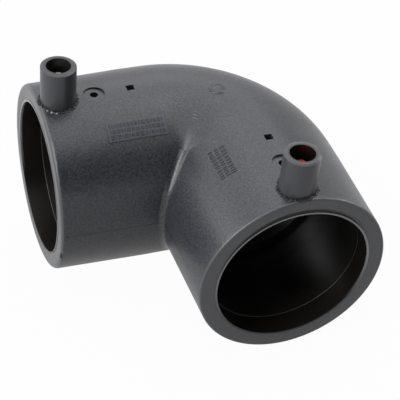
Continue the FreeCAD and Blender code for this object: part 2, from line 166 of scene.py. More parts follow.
def lathe_and_core(tree, place, end):
    """Zones of one socket, each 1 inside it and 0 outside. The rings are a wave on the turned face."""
    mouth = (0, 0, 0) if end == "a" else (CENTRE_TO_FACE, -CENTRE_TO_FACE, 0)
    round_axis = (0, 1, 1) if end == "a" else (1, 0, 1)
    local = add_node(tree, "VectorMath", {0: place, 1: mouth}, operation="SUBTRACT")
    along = add_node(tree, "SeparateXYZ", {0: local}, output="X" if end == "a" else "Y")
    across = add_node(tree, "VectorMath", {0: local, 1: round_axis}, operation="MULTIPLY")
    radius = add_node(tree, "VectorMath", {0: across}, output="Value", operation="LENGTH")
    face = add_node(tree, "Math", {0: along, 1: FACE_DEPTH}, operation="LESS_THAN")
    in_lip = add_node(tree, "Math", {0: radius, 1: LIP_REACH}, operation="LESS_THAN")
    lip = add_node(tree, "Math", {0: face, 1: in_lip}, operation="MULTIPLY")
    in_dish = add_node(tree, "Math", {0: radius, 1: DISH_REACH}, operation="LESS_THAN")
    dish = add_node(tree, "Math", {0: face, 1: in_dish}, operation="MULTIPLY")
    in_leg = add_node(tree, "Math", {0: along, 1: LEG_LENGTH}, operation="LESS_THAN")
    past_face = add_node(tree, "Math", {0: in_leg, 1: face}, operation="SUBTRACT")
    near_axis = add_node(tree, "Math", {0: radius, 1: CORE_REACH}, operation="LESS_THAN")
    bore = add_node(tree, "Math", {0: past_face, 1: near_axis}, operation="MULTIPLY")
    turns = add_node(tree, "Math", {0: radius, 1: 2 * math.pi / RING_PITCH}, operation="MULTIPLY")
    wave = add_node(tree, "Math", {0: turns}, operation="SINE")
    rings = add_node(tree, "Math", {0: wave, 1: face}, operation="MULTIPLY")
    return {"face": face, "bore": bore, "rings": rings, "lip": lip, "dish": dish}


def inside_bend(tree, place):
    """1 on the waterway of the bend, which came off the core too and is painted near black like the
    bores, as painted shade.
    """
    local = add_node(tree, "VectorMath", {0: place, 1: (LEG_LENGTH, -BEND_RADIUS, 0)},
                     operation="SUBTRACT")
    flat = add_node(tree, "VectorMath", {0: local, 1: (1, 1, 0)}, operation="MULTIPLY")
    reach = add_node(tree, "VectorMath", {0: flat}, output="Value", operation="LENGTH")
    off_line = add_node(tree, "Math", {0: reach, 1: BEND_RADIUS}, operation="SUBTRACT")
    height = add_node(tree, "SeparateXYZ", {0: local}, output="Z")
    offset = add_node(tree, "CombineXYZ", {"X": off_line, "Y": height})
    radius = add_node(tree, "VectorMath", {0: offset}, output="Value", operation="LENGTH")
    inside = add_node(tree, "Math", {0: radius, 1: CORE_REACH}, operation="LESS_THAN")
    for axis in "XY":
        along = add_node(tree, "SeparateXYZ", {0: local}, output=axis)
        past = add_node(tree, "Math", {0: along, 1: 0.0}, operation="GREATER_THAN")
        inside = add_node(tree, "Math", {0: inside, 1: past}, operation="MULTIPLY")
    return inside


def moulded_polyethylene(name, glossiest, dullest, grain_depth):
    """Black polyethylene of the body, whose roughness drifts between two values."""
    material, tree, shader, place = new_material(name)
    at_a, at_b = [lathe_and_core(tree, place, end) for end in "ab"]
    face, bore, rings, lip = [add_node(tree, "Math", {0: at_a[zone], 1: at_b[zone]}, operation="ADD")
                              for zone in ("face", "bore", "rings", "lip")]
    bore = add_node(tree, "Math", {0: bore, 1: inside_bend(tree, place)}, operation="MAXIMUM")
    flow = add_node(tree, "TexNoise", {"Vector": place, "Scale": 1 / FLOW_MARKS, "Detail": 3.0})
    grain = add_node(tree, "TexNoise", {"Vector": place, "Scale": 1 / MOULD_GRAIN, "Detail": 2.0})

    skin = add_node(tree, "Mix", {0: flow, COLOUR_A: linear("23262e"), COLOUR_B: linear("2b2a2c")},
                    COLOUR_OUT, data_type="RGBA")
    speckle = add_node(tree, "MapRange", {"Value": grain, "From Min": SPECKLE_LOW,
                                          "From Max": SPECKLE_HIGH, "To Max": SPECKLE_SHARE})
    skin = add_node(tree, "Mix", {0: speckle, COLOUR_A: skin, COLOUR_B: linear("484a51")},
                    COLOUR_OUT, data_type="RGBA")
    height = add_node(tree, "SeparateXYZ", {0: place}, output="Z")
    off_line = add_node(tree, "Math", {0: height}, operation="ABSOLUTE")
    parting = add_node(tree, "Math", {0: off_line, 1: PARTING_HALF_WIDTH}, operation="LESS_THAN")
    skin = add_node(tree, "Mix", {0: parting, COLOUR_A: skin, COLOUR_B: linear("111214")},
                    COLOUR_OUT, data_type="RGBA")
    skin = add_node(tree, "Mix", {0: face, COLOUR_A: skin, COLOUR_B: linear("4e4f52")},
                    COLOUR_OUT, data_type="RGBA")
    # Painted shade: the dish of mouth B is darkened towards the crown.
    crown = add_node(tree, "MapRange", {"Value": height, "From Min": DISH_SHADE_START,
                                        "From Max": DISH_SHADE_FULL})
    painted_dish_shade = add_node(tree, "Math", {0: at_b["dish"], 1: crown}, operation="MULTIPLY")
    skin = add_node(tree, "Mix", {0: painted_dish_shade, COLOUR_A: skin, COLOUR_B: linear("1d1e20")},
                    COLOUR_OUT, data_type="RGBA")
    # Painted highlight and painted shade: the lips are painted light at the top and dark at the bottom.
    upper = add_node(tree, "MapRange", {"Value": height, "From Min": LIP_SHADE_HEIGHT,
                                        "From Max": LIP_HIGHLIGHT_HEIGHT})
    painted_lip_light = add_node(tree, "Mix", {0: upper, COLOUR_A: linear("181716"),
                                        COLOUR_B: linear("909195")}, COLOUR_OUT, data_type="RGBA")
    skin = add_node(tree, "Mix", {0: lip, COLOUR_A: skin, COLOUR_B: painted_lip_light},
                    COLOUR_OUT, data_type="RGBA")
    # Painted shade: the bores and the waterway of the bend are painted near black.
    skin = add_node(tree, "Mix", {0: bore, COLOUR_A: skin, COLOUR_B: linear("14110f")},
                    COLOUR_OUT, data_type="RGBA")
    tree.links.new(skin, shader.inputs["Base Color"])

    rough = add_node(tree, "MapRange", {"Value": flow, "From Min": NOISE_LOW, "From Max": NOISE_HIGH,
                                        "To Min": glossiest, "To Max": dullest})
    rough = add_node(tree, "Math", {0: bore, 1: BORE_DULLER, 2: rough}, operation="MULTIPLY_ADD")
    tree.links.new(rough, shader.inputs["Roughness"])
    shader.inputs["IOR"].default_value = BODY_INDEX

    outside = add_node(tree, "Math", {0: 1.0, 1: bore}, operation="SUBTRACT")
    relief = add_node(tree, "Math", {0: grain, 1: outside}, operation="MULTIPLY")
    relief = add_node(tree, "Math", {0: rings, 1: RING_BUMP, 2: relief}, operation="MULTIPLY_ADD")
    bump = add_node(tree, "Bump", {"Height": relief, "Strength": SKIN_BUMP, "Distance": grain_depth})
    tree.links.new(bump, shader.inputs["Normal"])
    return material


def dress(node, material):
    """Gives a CAD node its material."""
    mesh = frame["nodes"][node].data
    mesh.materials.clear()
    mesh.materials.append(material)
    print(node, "is", material.name)


body_plastic = moulded_polyethylene("moulded_black_polyethylene", glossiest=0.27, dullest=0.35,
                                    grain_depth=0.12 * MM)
dress("elbow_body", body_plastic)

# %% [markdown]
# ## Shrouds, indicators and the small parts
# The shrouds and the melt indicators are polyethylene too, from smaller moulds with a finer, flatter
# finish. The terminal pins are tinned brass: tin is a pale metal, a little dull. The cap on one pin
# is glossy red plastic, so the welding machine's lead can be told apart.

# %% Materials of the small parts
SMALL_PART_INDEX = 1.5
SPARK_GRAIN = 0.5 * MM
SPARK_DEPTH, SPARK_BUMP = 0.04 * MM, 0.3
SPARK_SPREAD = 0.05
TURNING_MARKS = 0.3 * MM
TURNING_DEPTH, TURNING_BUMP = 0.02 * MM, 0.15
PATINA = 2 * MM
PIN_GLOSSIEST, PIN_DULLEST = 0.34, 0.5
# Round each terminal's axis, within this reach, the shroud's bore and rim are painted dark as painted
# shade.
SHROUD_SHADE_REACH = {"a": 6.2 * MM, "b": 5.7 * MM}
SHROUD_SHADE_COLOUR = {"a": "232222", "b": "131211"}


def small_moulding(name, dark, light, roughness):
    """Plastic of a small moulding, with a fine spark-eroded grain."""
    material, tree, shader, place = new_material(name)
    grain = add_node(tree, "TexNoise", {"Vector": place, "Scale": 1 / SPARK_GRAIN, "Detail": 3.0})
    colour = add_node(tree, "Mix", {0: grain, COLOUR_A: linear(dark), COLOUR_B: linear(light)},
                      COLOUR_OUT, data_type="RGBA")
    tree.links.new(colour, shader.inputs["Base Color"])
    rough = add_node(tree, "MapRange", {"Value": grain, "From Min": NOISE_LOW, "From Max": NOISE_HIGH,
                                        "To Min": roughness - SPARK_SPREAD,
                                        "To Max": roughness + SPARK_SPREAD})
    tree.links.new(rough, shader.inputs["Roughness"])
    shader.inputs["IOR"].default_value = SMALL_PART_INDEX
    bump = add_node(tree, "Bump", {"Height": grain, "Strength": SPARK_BUMP, "Distance": SPARK_DEPTH})
    tree.links.new(bump, shader.inputs["Normal"])
    return material


def tinned_brass():
    """Brass with fine turning marks under a slightly dull coat of tin."""
    material, tree, shader, place = new_material("tinned_brass_turned")
    height = add_node(tree, "SeparateXYZ", {0: place}, output="Z")
    turns = add_node(tree, "Math", {0: height, 1: 2 * math.pi / TURNING_MARKS}, operation="MULTIPLY")
    marks = add_node(tree, "Math", {0: turns}, operation="SINE")
    patina = add_node(tree, "TexNoise", {"Vector": place, "Scale": 1 / PATINA, "Detail": 4.0})
    colour = add_node(tree, "Mix", {0: patina, COLOUR_A: linear("c9c6bd"),
                                    COLOUR_B: linear("e9e7e1")}, COLOUR_OUT, data_type="RGBA")
    tree.links.new(colour, shader.inputs["Base Color"])
    shader.inputs["Metallic"].default_value = 1.0
    rough = add_node(tree, "MapRange", {"Value": patina, "From Min": NOISE_LOW, "From Max": NOISE_HIGH,
                                        "To Min": PIN_GLOSSIEST, "To Max": PIN_DULLEST})
    tree.links.new(rough, shader.inputs["Roughness"])
    bump = add_node(tree, "Bump", {"Height": marks, "Strength": TURNING_BUMP,
                                   "Distance": TURNING_DEPTH})
    tree.links.new(bump, shader.inputs["Normal"])
    return material


def paint_shroud_bore_shade(material, end):
    """Paints shade on a shroud: its bore and the ring round it are darkened as painted shade."""
    tree = material.node_tree
    shader = tree.nodes["Principled BSDF"]
    skin = shader.inputs["Base Color"].links[0].from_socket
    place = add_node(tree, "TexCoord", output="Object")
    axis = on_socket(end, TERMINAL_FROM_FACE, 0, 0)
    local = add_node(tree, "VectorMath", {0: place, 1: axis}, operation="SUBTRACT")
    across = add_node(tree, "VectorMath", {0: local, 1: (1, 1, 0)}, operation="MULTIPLY")
    radius = add_node(tree, "VectorMath", {0: across}, output="Value", operation="LENGTH")
    inside = add_node(tree, "Math", {0: radius, 1: SHROUD_SHADE_REACH[end]}, operation="LESS_THAN")
    skin = add_node(tree, "Mix", {0: inside, COLOUR_A: skin, COLOUR_B: linear(SHROUD_SHADE_COLOUR[end])},
                    COLOUR_OUT, data_type="RGBA")
    tree.links.new(skin, shader.inputs["Base Color"])
    return material


indicator_plastic = small_moulding("indicator_polyethylene_moulded", "1a1a1b", "222223", roughness=0.5)
red_plastic = small_moulding("red_plastic_moulded", "c21e1c", "d92b27", roughness=0.3)
tinned_pin = tinned_brass()
for end in "ab":
    shroud_plastic = small_moulding("shroud_polyethylene_" + end, "3c3d41", "46474b", roughness=0.32)
    dress("terminal_shroud_" + end, paint_shroud_bore_shade(shroud_plastic, end))
    dress("terminal_pin_" + end, tinned_pin)
    dress("fusion_indicator_" + end, indicator_plastic)
dress("terminal_tip_cover", red_plastic)

# %% [markdown]
# ## Helper for new pieces
# A new piece is a mesh whose points are already in the fitting's own frame, so its object stays at
# the origin. It must ride on the body.

# %% Helper that makes a piece from a bmesh
def finish_piece(name, work, material, smooth_under=40):
    """Turns a bmesh into a piece of the fitting. Edges sharper than smooth_under degrees stay sharp."""
    bmesh.ops.recalc_face_normals(work, faces=work.faces)
    for face in work.faces:
        face.smooth = True
    for edge in work.edges:
        if edge.is_manifold and edge.calc_face_angle() > math.radians(smooth_under):
            edge.smooth = False
    mesh = bpy.data.meshes.new(name)
    work.to_mesh(mesh)
    work.free()
    mesh.materials.append(material)
    piece = bpy.data.objects.new(name, mesh)
    bpy.context.scene.collection.objects.link(piece)
    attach(piece, "root")
    print("%s: %d faces" % (name, len(mesh.polygons)))
    return piece


# %% [markdown]
# ## Heating wire
# The wire of a real fitting has a black polyethylene coat and is wound turn on turn on the core
# before the body is moulded round it, so the bore shows fine black ridges. The CAD wire has few,
# wide turns. A tube swept along a helix, as fine as the real one, takes its place: its rings of
# points are placed by a loop and joined to their neighbours. Each ring starts from the side of the
# ring before it, so the tube never twists, even where its path turns upright.

# %% Path and tube of the heating wire
wire_low, wire_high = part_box("heating_wire")
WIRE_START = wire_low.x
WIRE_DIAMETER = 0.6 * MM
WINDING_LENGTH = 24.6 * MM
WIRE_PITCH = 0.615 * MM
STEPS_PER_TURN = 60
STEPS_IN_BEND = 24
RIM_POINTS = 6
LEAD_LIFT = 1.5 * WIRE_DIAMETER


def winding_path(end):
    """Points of one socket's winding, from the terminal's side to the bend's side."""
    first = WIRE_START + WIRE_DIAMETER / 2
    length = WINDING_LENGTH - WIRE_DIAMETER
    turns = round(length / WIRE_PITCH)
    radius = BORE_RADIUS + WIRE_DIAMETER / 2
    heights = (wire_high.z - WIRE_DIAMETER / 2, radius + LEAD_LIFT)
    points = [on_socket(end, first, 0, height) for height in heights]
    for step in range(turns * STEPS_PER_TURN + 1):
        share = step / (turns * STEPS_PER_TURN)
        points.append(on_socket(end, first + share * length, share * turns * 360, radius))
    return points


def bend_path():
    """Points of the run round the bend, between the two windings."""
    centre = Vector((LEG_LENGTH, -BEND_RADIUS, BORE_RADIUS + WIRE_DIAMETER / 2))
    turns = [math.radians(90 * step / STEPS_IN_BEND) for step in range(1, STEPS_IN_BEND)]
    return [centre + BEND_RADIUS * Vector((math.sin(turn), math.cos(turn), 0)) for turn in turns]


def tube(work, path, radius):
    """Adds a closed tube along a path to a bmesh."""
    rings = []
    side = Vector((0, 1, 0))
    for index, point in enumerate(path):
        ahead = (path[min(index + 1, len(path) - 1)] - path[max(index - 1, 0)]).normalized()
        side = (side - side.dot(ahead) * ahead).normalized()
        top = side.cross(ahead)
        ring = []
        for corner in range(RIM_POINTS):
            turn = 2 * math.pi * corner / RIM_POINTS
            ring.append(work.verts.new(point + radius * (math.cos(turn) * side + math.sin(turn) * top)))
        rings.append(ring)
    for near, far in zip(rings, rings[1:]):
        for corner in range(RIM_POINTS):
            following = (corner + 1) % RIM_POINTS
            work.faces.new((near[corner], near[following], far[following], far[corner]))
    work.faces.new(rings[0])
    work.faces.new(rings[-1])


wire_mesh = bmesh.new()
wire_path = winding_path("a") + bend_path() + list(reversed(winding_path("b")))
tube(wire_mesh, wire_path, WIRE_DIAMETER / 2)
coat = small_moulding("wire_coat_polyethylene", "101010", "181818", roughness=0.3)
winding = finish_piece("coated_heating_wire", wire_mesh, coat, smooth_under=80)
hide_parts("heating_wire")

# %% [markdown]
# ## The skin over the winding
# The melt flowed over the wound core, so a skin little thicker than a hair covers the wire in the
# bore. It came off the smooth core, so it has no grain, and the wire shows through as fine ridges.
# Its colour is painted near black, darker than the outside, as painted shade inside the bore. Where
# the skin starts, behind the wider entry of the socket, it has a small sloping edge that catches the
# light. It's a surface of revolution, spun from a short profile.
# The ridges are too fine to see one by one, so they are drawn in the material, a few microns high.

# %% Skin over the winding
SKIN_START = 9.2 * MM
SKIN_FINISH = 36.0 * MM
SKIN_EDGE = 0.16 * MM
SKIN_TUCK = 0.25 * MM
SKIN_RADIUS = BORE_RADIUS - 0.12 * MM
RIDGE_HEIGHT = 0.006 * MM
SKIN_GLOSSIEST, SKIN_DULLEST = 0.38, 0.46
SPIN_STEPS = 120


def core_skin():
    """Smooth black polyethylene with the ridges of the wire under it, painted near black as painted
    shade.
    """
    material, tree, shader, place = new_material("polyethylene_skin_over_wire")
    blotches = add_node(tree, "TexNoise", {"Vector": place, "Scale": 1 / FLOW_MARKS, "Detail": 2.0})
    # Painted shade: the skin's colour is near black.
    colour = add_node(tree, "Mix", {0: blotches, COLOUR_A: linear("0b0908"),
                                    COLOUR_B: linear("14110e")}, COLOUR_OUT, data_type="RGBA")
    tree.links.new(colour, shader.inputs["Base Color"])
    rough = add_node(tree, "MapRange", {"Value": blotches,
                                        "From Min": NOISE_LOW, "From Max": NOISE_HIGH,
                                        "To Min": SKIN_GLOSSIEST, "To Max": SKIN_DULLEST})
    tree.links.new(rough, shader.inputs["Roughness"])
    shader.inputs["IOR"].default_value = BODY_INDEX
    along = add_node(tree, "SeparateXYZ", {0: place}, output="X")
    turns = add_node(tree, "Math", {0: along, 1: 2 * math.pi / WIRE_PITCH}, operation="MULTIPLY")
    ridges = add_node(tree, "Math", {0: turns}, operation="SINE")
    bump = add_node(tree, "Bump", {"Height": ridges, "Distance": RIDGE_HEIGHT})
    tree.links.new(bump, shader.inputs["Normal"])
    return material


def joined(work, sections, ends_meet):
    """Joins closed sections of equal length into a wall, open at its two ends or a full ring."""
    following_sections = sections[1:] + sections[:1] if ends_meet else sections[1:]
    for near, far in zip(sections, following_sections):
        for index in range(len(near)):
            following = (index + 1) % len(near)
            work.faces.new((near[index], near[following], far[following], far[index]))


def spun(end, section_at):
    """Ring round a socket's axis. section_at gives the places and radii of its section at an angle."""
    work = bmesh.new()
    sections = []
    for step in range(SPIN_STEPS):
        angle = 360 * step / SPIN_STEPS
        sections.append([work.verts.new(on_socket(end, along, angle, radius))
                         for along, radius in section_at(end, angle)])
    joined(work, sections, ends_meet=True)
    return work


def skin_section(end, angle):
    """Section of the skin: its sloping edge, its face, and its back inside the body."""
    return [(SKIN_START, SKIN_RADIUS + SKIN_EDGE), (SKIN_START + SKIN_EDGE, SKIN_RADIUS),
            (SKIN_START + 2 * SKIN_EDGE, SKIN_RADIUS), (SKIN_FINISH - SKIN_TUCK, SKIN_RADIUS),
            (SKIN_FINISH, SKIN_RADIUS), (SKIN_FINISH + SKIN_TUCK, SKIN_RADIUS + SKIN_TUCK)]


skin_plastic = core_skin()
for end in "ab":
    finish_piece("bore_skin_" + end, spun(end, skin_section), skin_plastic,
                 smooth_under=80)

# %% [markdown]
# ## Turned faces
# The faces of the two mouths are turned, so their outer edge is crisper than a moulded one, and the
# tool leaves a shallow dish and a thin lip round the entry. The fitting didn't run quite true in the
# lathe: at mouth B the dish is deeper on the side of the crown. Both are rings spun from a section
# whose depth depends on the angle. They lie a few hundredths of a millimetre proud of the solid.

# %% Turned faces
FACE_PROUD = 0.03 * MM
EDGE_ROUND = {"a": 1.8 * MM, "b": 1.0 * MM}
EDGE_STEPS = 8
EDGE_START = 2.2 * MM
DISH_RADIUS = 34.8 * MM
ENTRY_RADIUS = BORE_RADIUS + 0.2 * MM
LIP_RADIUS = ENTRY_RADIUS + 0.8 * MM
LIP_ROUND = 0.15 * MM
DISH_DEPTH = 0.12 * MM
CROWN_DISH_DEPTH = {"a": DISH_DEPTH, "b": 0.6 * MM}


def face_section(end, angle):
    """Section of a turned face: outer edge, flat, dish, lip, and the rounded start of the entry."""
    crown_share = max(math.cos(math.radians(angle)), 0.0) ** 2
    depth = DISH_DEPTH + (CROWN_DISH_DEPTH[end] - DISH_DEPTH) * crown_share
    section = [(EDGE_START, MOUTH_RADIUS)]
    for step in range(EDGE_STEPS + 1):
        turn = math.radians(90 * step / EDGE_STEPS)
        section.append((EDGE_ROUND[end] * (1 - math.sin(turn)) - FACE_PROUD,
                        MOUTH_RADIUS + FACE_PROUD - EDGE_ROUND[end] * (1 - math.cos(turn))))
    return section + [(-FACE_PROUD, DISH_RADIUS), (depth, LIP_RADIUS), (-FACE_PROUD, LIP_RADIUS),
                      (-FACE_PROUD, ENTRY_RADIUS + LIP_ROUND), (LIP_ROUND, ENTRY_RADIUS - FACE_PROUD),
                      (LIP_ROUND + FACE_PROUD, ENTRY_RADIUS + FACE_PROUD)]


for end in "ab":
    finish_piece("turned_face_" + end, spun(end, face_section), body_plastic,
                 smooth_under=12)

# %% [markdown]
# ## The web in the throat
# The mould rounds the inner corner where the two sockets meet, or the fitting would crack there.
# At every height the outsides of the sockets are two straight lines that meet at a right angle,
# so the rounding is a hollow quarter circle at each height, which widens towards the top. Above and
# below, the curved inside of the bend is as hollow as the web itself, and there the web runs out.
# The mould is polished there, so the web is a little glossier than the rest and has less grain.

# %% Throat web
WEB_ROUND = 2.9 * MM
WEB_TOP_ROUND = 3.8 * MM
WEB_WIDENING = 1.5
WEB_SINK = 0.03 * MM
WEB_BACK = 1.0 * MM
WEB_LEVELS = 64
WEB_STEPS = 12


def web_end(hollow_radius):
    """Height at which the inside of the bend is as hollow as the web, and a little more."""
    return math.sqrt(OUTER_RADIUS ** 2 - (BEND_RADIUS - hollow_radius) ** 2) + WEB_BACK


def throat_web():
    """Solid with a hollow face that fills the corner between the two sockets."""
    work = bmesh.new()
    sections = []
    lowest, highest = -web_end(WEB_ROUND), web_end(WEB_TOP_ROUND)
    for level in range(WEB_LEVELS + 1):
        height = lowest + (highest - lowest) * level / WEB_LEVELS
        widening = max(height / highest, 0.0) ** WEB_WIDENING
        hollow_radius = WEB_ROUND + (WEB_TOP_ROUND - WEB_ROUND) * widening
        half_width = math.sqrt(OUTER_RADIUS ** 2 - height ** 2)
        corner = Vector((CENTRE_TO_FACE - half_width, -half_width, height))
        hollow = corner + (WEB_SINK - hollow_radius) * Vector((1, 1, 0))
        section = [work.verts.new(corner + WEB_BACK * Vector((1, 1, 0)))]
        for step in range(WEB_STEPS + 1):
            turn = math.radians(90 * step / WEB_STEPS)
            reach = hollow_radius * Vector((math.cos(turn), math.sin(turn), 0))
            section.append(work.verts.new(hollow + reach))
        sections.append(section)
    joined(work, sections, ends_meet=False)
    work.faces.new(sections[0])
    work.faces.new(sections[-1])
    return work


web_plastic = moulded_polyethylene("polished_black_polyethylene", glossiest=0.2, dullest=0.26,
                                   grain_depth=0.05 * MM)
finish_piece("throat_web", throat_web(), web_plastic)

# %% [markdown]
# ## The ragged edge round each shroud
# Where a shroud stands in its seat, some plastic was squeezed out and torn. It reads as a dark,
# crumbly ring. Small lumps of random size, each a rough ball, are strewn along the ring.
# A fixed seed makes every run the same.

# %% Crumbs round the shrouds
SEED = 63
rng = random.Random(SEED)
shroud_low, shroud_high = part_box("terminal_shroud_a")
SHROUD_RADIUS = (shroud_high.x - shroud_low.x) / 2
CRUMBS = 190
CRUMB_JITTER = 2
# Ranges for random sizes, in millimetres. A squash is a share of a lump's width.
CRUMB_REACH, CRUMB_DEPTH = (0.0, 1.0), (0.0, 0.25)
CRUMB_SIZE, CRUMB_SQUASH = (0.2, 0.7), (0.4, 1.0)
RUFFLE_DEPTH, RUFFLE_FINENESS = 0.4, 2.2
NOISE_SHIFT = 900


def crown_height(end, spot):
    """Height of the socket's outside above a spot of the plan."""
    across = spot.y if end == "a" else spot.x - CENTRE_TO_FACE
    along = spot.x if end == "a" else spot.y + CENTRE_TO_FACE
    return math.sqrt(outside_radius(along) ** 2 - across ** 2)


def lump(work, centre, size, squash):
    """Adds a rough ball to a bmesh. Its place shifts the noise, so no two balls are alike."""
    made = bmesh.ops.create_icosphere(work, subdivisions=2, radius=size)
    for vert in made["verts"]:
        wave = noise.noise(vert.co * (RUFFLE_FINENESS / size) + centre * NOISE_SHIFT)
        ruffle = 1 + RUFFLE_DEPTH * wave
        vert.co = Vector((vert.co.x * ruffle, vert.co.y * ruffle, vert.co.z * ruffle * squash)) + centre


def crumbs(end):
    """Lumps of random size along the ring at a shroud's foot."""
    work = bmesh.new()
    axis = on_socket(end, TERMINAL_FROM_FACE, 0, 0)
    for step in range(CRUMBS):
        turn = math.radians(step * 360 / CRUMBS + rng.uniform(-CRUMB_JITTER, CRUMB_JITTER))
        reach = SHROUD_RADIUS + rng.uniform(*CRUMB_REACH) * MM
        spot = axis + reach * Vector((math.cos(turn), math.sin(turn), 0))
        spot.z = crown_height(end, spot) - rng.uniform(*CRUMB_DEPTH) * MM
        lump(work, spot, rng.uniform(*CRUMB_SIZE) * MM, rng.uniform(*CRUMB_SQUASH))
    return work


crumb_plastic = small_moulding("torn_polyethylene", "070707", "101010", roughness=0.55)
for end in "ab":
    finish_piece("shroud_crumbs_" + end, crumbs(end), crumb_plastic,
                 smooth_under=180)

# %% [markdown]
# ## Rows of low raised bars
# The panel on one socket and the flank of the other carry rows of low raised bars, cut into the mould
# with sloping sides so that the part comes out. The panel was spark-eroded, which leaves it rough and
# a little bluish. One helper finds the way out of the body at any spot, another sets a low block on
# the outside there, and the rest is loops.

# %% Raised bars and the rough panel
PANEL_RISE = 0.4 * MM
PANEL_START, PANEL_FINISH = 23.4 * MM, 48.4 * MM
PANEL_ANGLE, PANEL_WIDTH = 30.0, 8.6 * MM
PANEL_BARS_START, PANEL_BARS_FINISH = PANEL_START + 1.2 * MM, PANEL_FINISH - 1.8 * MM
FLANK_BARS_START, FLANK_BARS_FINISH, FLANK_ANGLE = 27.0 * MM, 43.0 * MM, 31.0
# Range for random lengths in millimetres, and for random widths as a share of the bar's own
BAR_LENGTHS, BAR_WIDTHS = (0.4, 1.7), (0.75, 1.2)
PANEL_BAR_WIDTH, FLANK_BAR_WIDTH = 1.7 * MM, 2.1 * MM
BAR_GAP = 0.5 * MM
BAR_RISE = 0.2 * MM
BAR_SINK = 0.3 * MM
BAR_SLOPE = 0.12 * MM
PANEL_ROW_PITCH, FLANK_ROW_PITCH = 2.4 * MM, 2.6 * MM
ROWS = 3
GRAIN_STEP = 0.35 * MM
GRAIN_RISE, GRAIN_FINENESS = 0.12 * MM, 0.83
RIM_DROP = PANEL_RISE + 0.3 * MM
SOCKET_AXES = {"a": Vector((1, 0, 0)), "b": Vector((0, 1, 0))}


def outwards(spot):
    """Direction that points straight out of the body at a spot on its outside."""
    if spot.x < LEG_LENGTH:
        middle = Vector((spot.x, 0, 0))
    elif spot.y < -BEND_RADIUS:
        middle = Vector((CENTRE_TO_FACE, spot.y, 0))
    else:
        hub = Vector((LEG_LENGTH, -BEND_RADIUS, 0))
        middle = hub + BEND_RADIUS * (Vector((spot.x, spot.y, 0)) - hub).normalized()
    return (spot - middle).normalized()


def low_block(work, spot, ahead, length, width, rise):
    """Adds a block with sloping sides that stands on the outside and points ahead."""
    out = outwards(spot)
    ahead = (ahead - ahead.dot(out) * out).normalized()
    side = out.cross(ahead)
    corners = []
    for level, inset in ((-BAR_SINK, 0.0), (rise, min(BAR_SLOPE, width / 4))):
        for end_sign, side_sign in ((-1, -1), (1, -1), (1, 1), (-1, 1)):
            corners.append(work.verts.new(spot + level * out
                                          + end_sign * (length / 2 - inset) * ahead
                                          + side_sign * (width / 2 - inset) * side))
    work.faces.new(corners[3::-1])
    work.faces.new(corners[4:])
    for index in range(4):
        following = (index + 1) % 4
        work.faces.new((corners[index], corners[following],
                        corners[following + 4], corners[index + 4]))


def rows_of_bars(end, start, finish, middle_angle, base, bar_width, row_pitch):
    """Rows of bars along a socket, on a surface that lies base above its outside."""
    work = bmesh.new()
    pitch = math.degrees(row_pitch / OUTER_RADIUS)
    for row in range(ROWS):
        angle = middle_angle + (row - (ROWS - 1) / 2) * pitch
        along = start
        while along < finish:
            length = rng.uniform(*BAR_LENGTHS) * MM
            width = rng.uniform(*BAR_WIDTHS) * bar_width
            spot = on_socket(end, along + length / 2, angle, outside_radius(along) + base)
            low_block(work, spot, SOCKET_AXES[end], length, width, BAR_RISE)
            along += length + BAR_GAP
    return work


def rough_panel():
    """Grainy sheet that covers the raised panel, with its rim pulled down into the panel."""
    work = bmesh.new()
    steps_along = round((PANEL_FINISH - PANEL_START) / GRAIN_STEP)
    steps_round = round(PANEL_WIDTH / GRAIN_STEP)
    spread = math.degrees(PANEL_WIDTH / OUTER_RADIUS)
    grid = []
    for i in range(steps_along + 1):
        along = PANEL_START + (PANEL_FINISH - PANEL_START) * i / steps_along
        line = []
        for j in range(steps_round + 1):
            angle = PANEL_ANGLE + spread * (j / steps_round - 0.5)
            at_rim = i in (0, steps_along) or j in (0, steps_round)
            grain = 0.0 if at_rim else abs(noise.noise(Vector((i, j, 0)) * GRAIN_FINENESS))
            level = outside_radius(along) + PANEL_RISE + GRAIN_RISE * grain - at_rim * RIM_DROP
            line.append(work.verts.new(on_socket("a", along, angle, level)))
        grid.append(line)
    for i in range(steps_along):
        for j in range(steps_round):
            work.faces.new((grid[i][j], grid[i + 1][j], grid[i + 1][j + 1], grid[i][j + 1]))
    return work


bar_plastic = small_moulding("raised_bar_polyethylene", "1a1b1e", "28292d", roughness=0.5)
panel_plastic = small_moulding("spark_eroded_polyethylene", "32343f", "454854", roughness=0.46)
finish_piece("panel_grain", rough_panel(), panel_plastic, smooth_under=60)
panel_rows = rows_of_bars("a", PANEL_BARS_START, PANEL_BARS_FINISH, PANEL_ANGLE,
                          PANEL_RISE, PANEL_BAR_WIDTH, PANEL_ROW_PITCH)
finish_piece("panel_bars", panel_rows, bar_plastic)
flank_rows = rows_of_bars("b", FLANK_BARS_START, FLANK_BARS_FINISH, FLANK_ANGLE,
                          0.0, FLANK_BAR_WIDTH, FLANK_ROW_PITCH)
finish_piece("flank_bars", flank_rows, bar_plastic)

# %% [markdown]
# ## Traces of moulding and handling
# The plastic was injected on top of the bend, where a low round pad, a pale streak and a short dark
# cut are left. Three thin scratches lie towards the inside of the bend, and a few pale shreds hang at
# the foot of one shroud. Mouth A has a dark nick in its edge and a dark speck where the parting line
# ends. All of them are thin blocks and small lumps again.

# %% Small traces
SHREDS = 8
# The shreds lie between two angles of the plan. Their other ranges are like those of the crumbs.
SHREDS_START, SHREDS_SWEEP, SHREDS_JITTER = -140, 38, 3
SHRED_REACH, SHRED_SIZE, SHRED_SQUASH = (0.5, 1.5), (0.15, 0.6), (0.4, 0.9)
